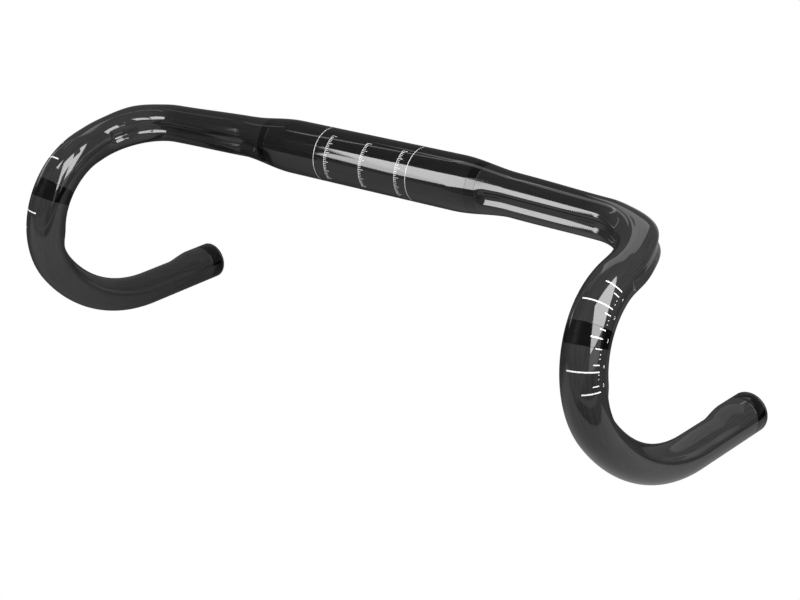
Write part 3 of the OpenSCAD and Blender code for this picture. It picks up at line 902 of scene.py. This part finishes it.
# Floor that is plain white to the camera. To the bar's gloss it glows in a painted pattern: a painted pool
# of light under the bar, painted dark bands, and dim strips.
def painted_floor_glow():
    material, tree, shader = new_finish("floor_painted_glow")
    place = tree.nodes.new("ShaderNodeTexCoord")
    line_up = tree.nodes.new("ShaderNodeMapping")
    line_up.inputs["Rotation"].default_value = (0, 0, -CAMERA_AZIMUTH)
    split = tree.nodes.new("ShaderNodeSeparateXYZ")
    tree.links.new(place.outputs["Object"], line_up.inputs["Vector"])
    tree.links.new(line_up.outputs["Vector"], split.inputs["Vector"])
    ramp = tree.nodes.new("ShaderNodeValToRGB")
    towards_camera = map_range(tree, split.outputs["Y"], FLOOR_REACH, -FLOOR_REACH, 0.0, 1.0)
    tree.links.new(towards_camera, ramp.inputs["Fac"])
    bands = ramp.color_ramp.elements
    while len(bands) < len(FLOOR_GLOW):
        bands.new(0.5)
    for band, (towards, glow) in zip(bands, FLOOR_GLOW):
        band.position = (towards / FLOOR_REACH + 1) / 2
        band.color = (glow, glow, glow, 1)
    right_fade = map_range(tree, split.outputs["X"], *RIGHT_FADE, 1.0, RIGHT_GLOW)
    left_side = map_range(tree, split.outputs["X"], *LEFT_FADE, 0.0, LEFT_GLOW)
    front_side = map_range(tree, split.outputs["Y"], *LEFT_FRONT_FADE, 0.0, 1.0)
    left_glow = add_math(tree, "MULTIPLY", left_side, front_side)
    main_glow = add_math(tree, "MULTIPLY", ramp.outputs["Color"], right_fade)
    glow = add_math(tree, "MAXIMUM", main_glow, left_glow)
    shader.inputs["Base Color"].default_value = (0, 0, 0, 1)
    shader.inputs["Specular IOR Level"].default_value = 0
    shader.inputs["Emission Color"].default_value = (1, 1, 1, 1)
    tree.links.new(white_to_camera(tree, glow), shader.inputs["Emission Strength"])
    return material


def lay_floor():
    bm = bmesh.new()
    bmesh.ops.create_grid(bm, x_segments=1, y_segments=1, size=FLOOR_HALF)
    bmesh.ops.translate(bm, vec=(0, 0, FLOOR_HEIGHT), verts=bm.verts)
    mesh = bpy.data.meshes.new("floor")
    bm.to_mesh(mesh)
    bm.free()
    mesh.materials.append(painted_floor_glow())
    floor = bpy.data.objects.new("floor", mesh)
    scene.collection.objects.link(floor)


def hang_softbox(name, azimuth, elevation, distance, width, height, radiance, aim, lean=0, slide=(0, 0)):
    """Softbox seen from the aim point at that azimuth and elevation, and facing it. It can lean to the side,
    and its middle can slide to the side and up in its own plane."""
    a = radians(azimuth)
    e = radians(elevation)
    away = Vector((sin(a) * cos(e), -cos(a) * cos(e), sin(e)))
    lamp = bpy.data.lights.new(name, "AREA")
    lamp.shape = "RECTANGLE"
    lamp.size = width
    lamp.size_y = height
    lamp.energy = radiance * pi * width * height
    box = bpy.data.objects.new(name, lamp)
    facing = (-away).to_track_quat("-Z", "Y") @ Quaternion((0, 0, 1), radians(lean))
    box.rotation_euler = facing.to_euler()
    box.location = Vector(aim) + away * distance + facing @ Vector((*slide, 0))
    box.visible_camera = False
    scene.collection.objects.link(box)


def stand_card(name, middle, azimuth, width, height, glow):
    """Card that only the gloss shows: a dim one hides a lamp from it, and a bright one adds a highlight."""
    bm = bmesh.new()
    bmesh.ops.create_grid(bm, x_segments=1, y_segments=1, size=0.5)
    bmesh.ops.scale(bm, vec=(width, height, 1), verts=bm.verts)
    bmesh.ops.transform(bm, matrix=shift(*middle) @ turn("Z", azimuth) @ turn("X", 90), verts=bm.verts)
    mesh = bpy.data.meshes.new(name)
    bm.to_mesh(mesh)
    bm.free()
    material = plain_finish(name, (0, 0, 0), (0.002, 0.002, 0.002), (0.9, 1.0),
                            metallic=0, patch=20, speck=1, grain=0.001)
    shader = material.node_tree.nodes["Principled BSDF"]
    shader.inputs["Emission Color"].default_value = (1, 1, 1, 1)
    shader.inputs["Emission Strength"].default_value = glow
    mesh.materials.append(material)
    card = bpy.data.objects.new(name, mesh)
    card.visible_camera = False
    card.visible_diffuse = False
    card.visible_shadow = False
    scene.collection.objects.link(card)


def hang_strip(name, start, end, width, radiance, aim):
    """Thin lamp between two points, facing the aim point."""
    start = Vector(start)
    run = Vector(end) - start
    middle = start + run / 2
    along = run.normalized()
    away = middle - Vector(aim)
    facing = (away - along * away.dot(along)).normalized()
    across = facing.cross(along)
    lamp = bpy.data.lights.new(name, "AREA")
    lamp.shape = "RECTANGLE"
    lamp.size = run.length
    lamp.size_y = width
    lamp.energy = radiance * pi * run.length * width
    strip = bpy.data.objects.new(name, lamp)
    strip.rotation_euler = Matrix((along, across, facing)).transposed().to_euler()
    strip.location = middle
    strip.visible_camera = False
    scene.collection.objects.link(strip)


# Points that the lamps face
CLAMP_SIDE = (0.06, 0, 0)
RIGHT_BEND = (0.19, -0.08, -0.03)
RIGHT_TOP = (0.19, -0.03, 0)
LEFT_HOOK = (-0.2, -0.07, -0.03)
# Azimuth, elevation and distance of the front left softbox and its wing, and their lean
FRONT_LEFT = (-36, 27, 1.5)
FRONT_LEAN = 27

lay_floor()
stand_card("right_card", (0.1236, -0.1676, 0.05), azimuth=-45, width=0.15, height=0.2, glow=0.15)
stand_card("left_card", (-0.257, -0.161, 0.02), azimuth=-29, width=0.16, height=0.14, glow=0.1)
stand_card("back_card", (-0.045, 0.045, 0.0625), azimuth=0, width=0.31, height=0.085, glow=0.08)
stand_card("right_drop_card", (0.18, 0.1, -0.03), azimuth=0, width=0.14, height=0.1, glow=0.4)
stand_card("left_drop_card", (-0.225, 0.1, -0.035), azimuth=0, width=0.17, height=0.13, glow=0.15)
stand_card("left_hook_card", (-0.13, -0.063, 0.08), azimuth=90, width=0.021, height=0.085, glow=0.1)
stand_card("left_edge_card", (-0.18, -0.126, 0.0285), azimuth=0, width=0.07, height=0.047, glow=0.1)
stand_card("left_bend_light", (-0.162, -0.431, 0.39), azimuth=59, width=0.33, height=0.22, glow=11)
hang_softbox("front_left_box", *FRONT_LEFT, width=0.64, height=1.06, radiance=11, aim=CLAMP_SIDE,
             lean=FRONT_LEAN, slide=(0.08, -0.245))
hang_softbox("front_left_wing", *FRONT_LEFT, width=0.16, height=0.56, radiance=9, aim=CLAMP_SIDE,
             lean=FRONT_LEAN, slide=(-0.32, -0.395))
hang_softbox("left_strip", -97, 20, 1.5, width=0.05, height=1.1, radiance=1, aim=RIGHT_BEND, lean=12)
hang_softbox("left_rim", -87, 17, 0.35, width=0.22, height=0.07, radiance=1.3, aim=LEFT_HOOK)
hang_softbox("right_box", 77, 42, 1.4, width=1.2, height=1.5, radiance=11, aim=RIGHT_BEND)
hang_softbox("right_skirt", 77, 5, 1.5, width=1.2, height=0.4, radiance=1.2, aim=RIGHT_BEND)
hang_softbox("back_panel", -150, 48, 1.6, width=1.4, height=0.9, radiance=1.1, aim=RIGHT_TOP)
hang_strip("ceiling_strip", (-0.54, 0.48, 1.0), (-0.91, -0.15, 1.0), width=0.03, radiance=2.5, aim=(0, 0, 0))

world = bpy.data.worlds.new("studio")
world.use_nodes = True
sky = world.node_tree.nodes["Background"]
sky.inputs["Color"].default_value = (1, 1, 1, 1)
world.node_tree.links.new(white_to_camera(world.node_tree, SKY_GLOW), sky.inputs["Strength"])
scene.world = world
scene.view_settings.view_transform = "Standard"

camera_data = bpy.data.cameras.new("camera")
camera_data.sensor_width = 36
camera_data.sensor_fit = "HORIZONTAL"
camera_data.lens = CAMERA_LENS
camera_data.clip_start = 0.01
camera = bpy.data.objects.new("camera", camera_data)
back = Vector((sin(CAMERA_AZIMUTH) * cos(CAMERA_ELEVATION), -cos(CAMERA_AZIMUTH) * cos(CAMERA_ELEVATION),
               sin(CAMERA_ELEVATION)))
camera.location = CAMERA_AIM + back * CAMERA_DISTANCE
level_view = (-back).to_track_quat("-Z", "Y")
camera.rotation_euler = (level_view @ Quaternion((0, 0, 1), CAMERA_ROLL)).to_euler()
scene.collection.objects.link(camera)
scene.camera = camera

bpy.context.view_layer.update()
